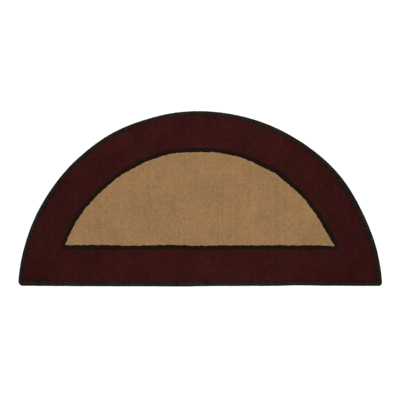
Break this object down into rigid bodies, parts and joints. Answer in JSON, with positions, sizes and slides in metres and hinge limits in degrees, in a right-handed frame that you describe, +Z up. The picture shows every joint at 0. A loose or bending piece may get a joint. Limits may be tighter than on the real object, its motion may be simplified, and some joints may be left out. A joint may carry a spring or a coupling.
{
  "type": "half-round hearth rug",
  "caption": "Half-round hearth rug lying flat: a hand-tufted cut-pile cloth in tan with a burgundy band and black line, its edge overcast in black yarn.",
  "frame": {"origin": "on the floor, under the middle of the rug's outline box", "axes": "+X along the straight edge, +Y from the straight edge towards the crown of the half round, +Z up out of the pile"},
  "size_m": [1.1684, 0.563, 0.012],
  "materials": {
    "tufted_pile": "dull dense cut wool pile, tan field with a burgundy band and a black line",
    "binding_yarn": "dull black wool yarn, overcast side by side round the edge"
  },
  "bodies": {
    "root": {"tufted_cloth": "tufted_pile", "edge_binding": "binding_yarn"}
  },
  "joints": []
}
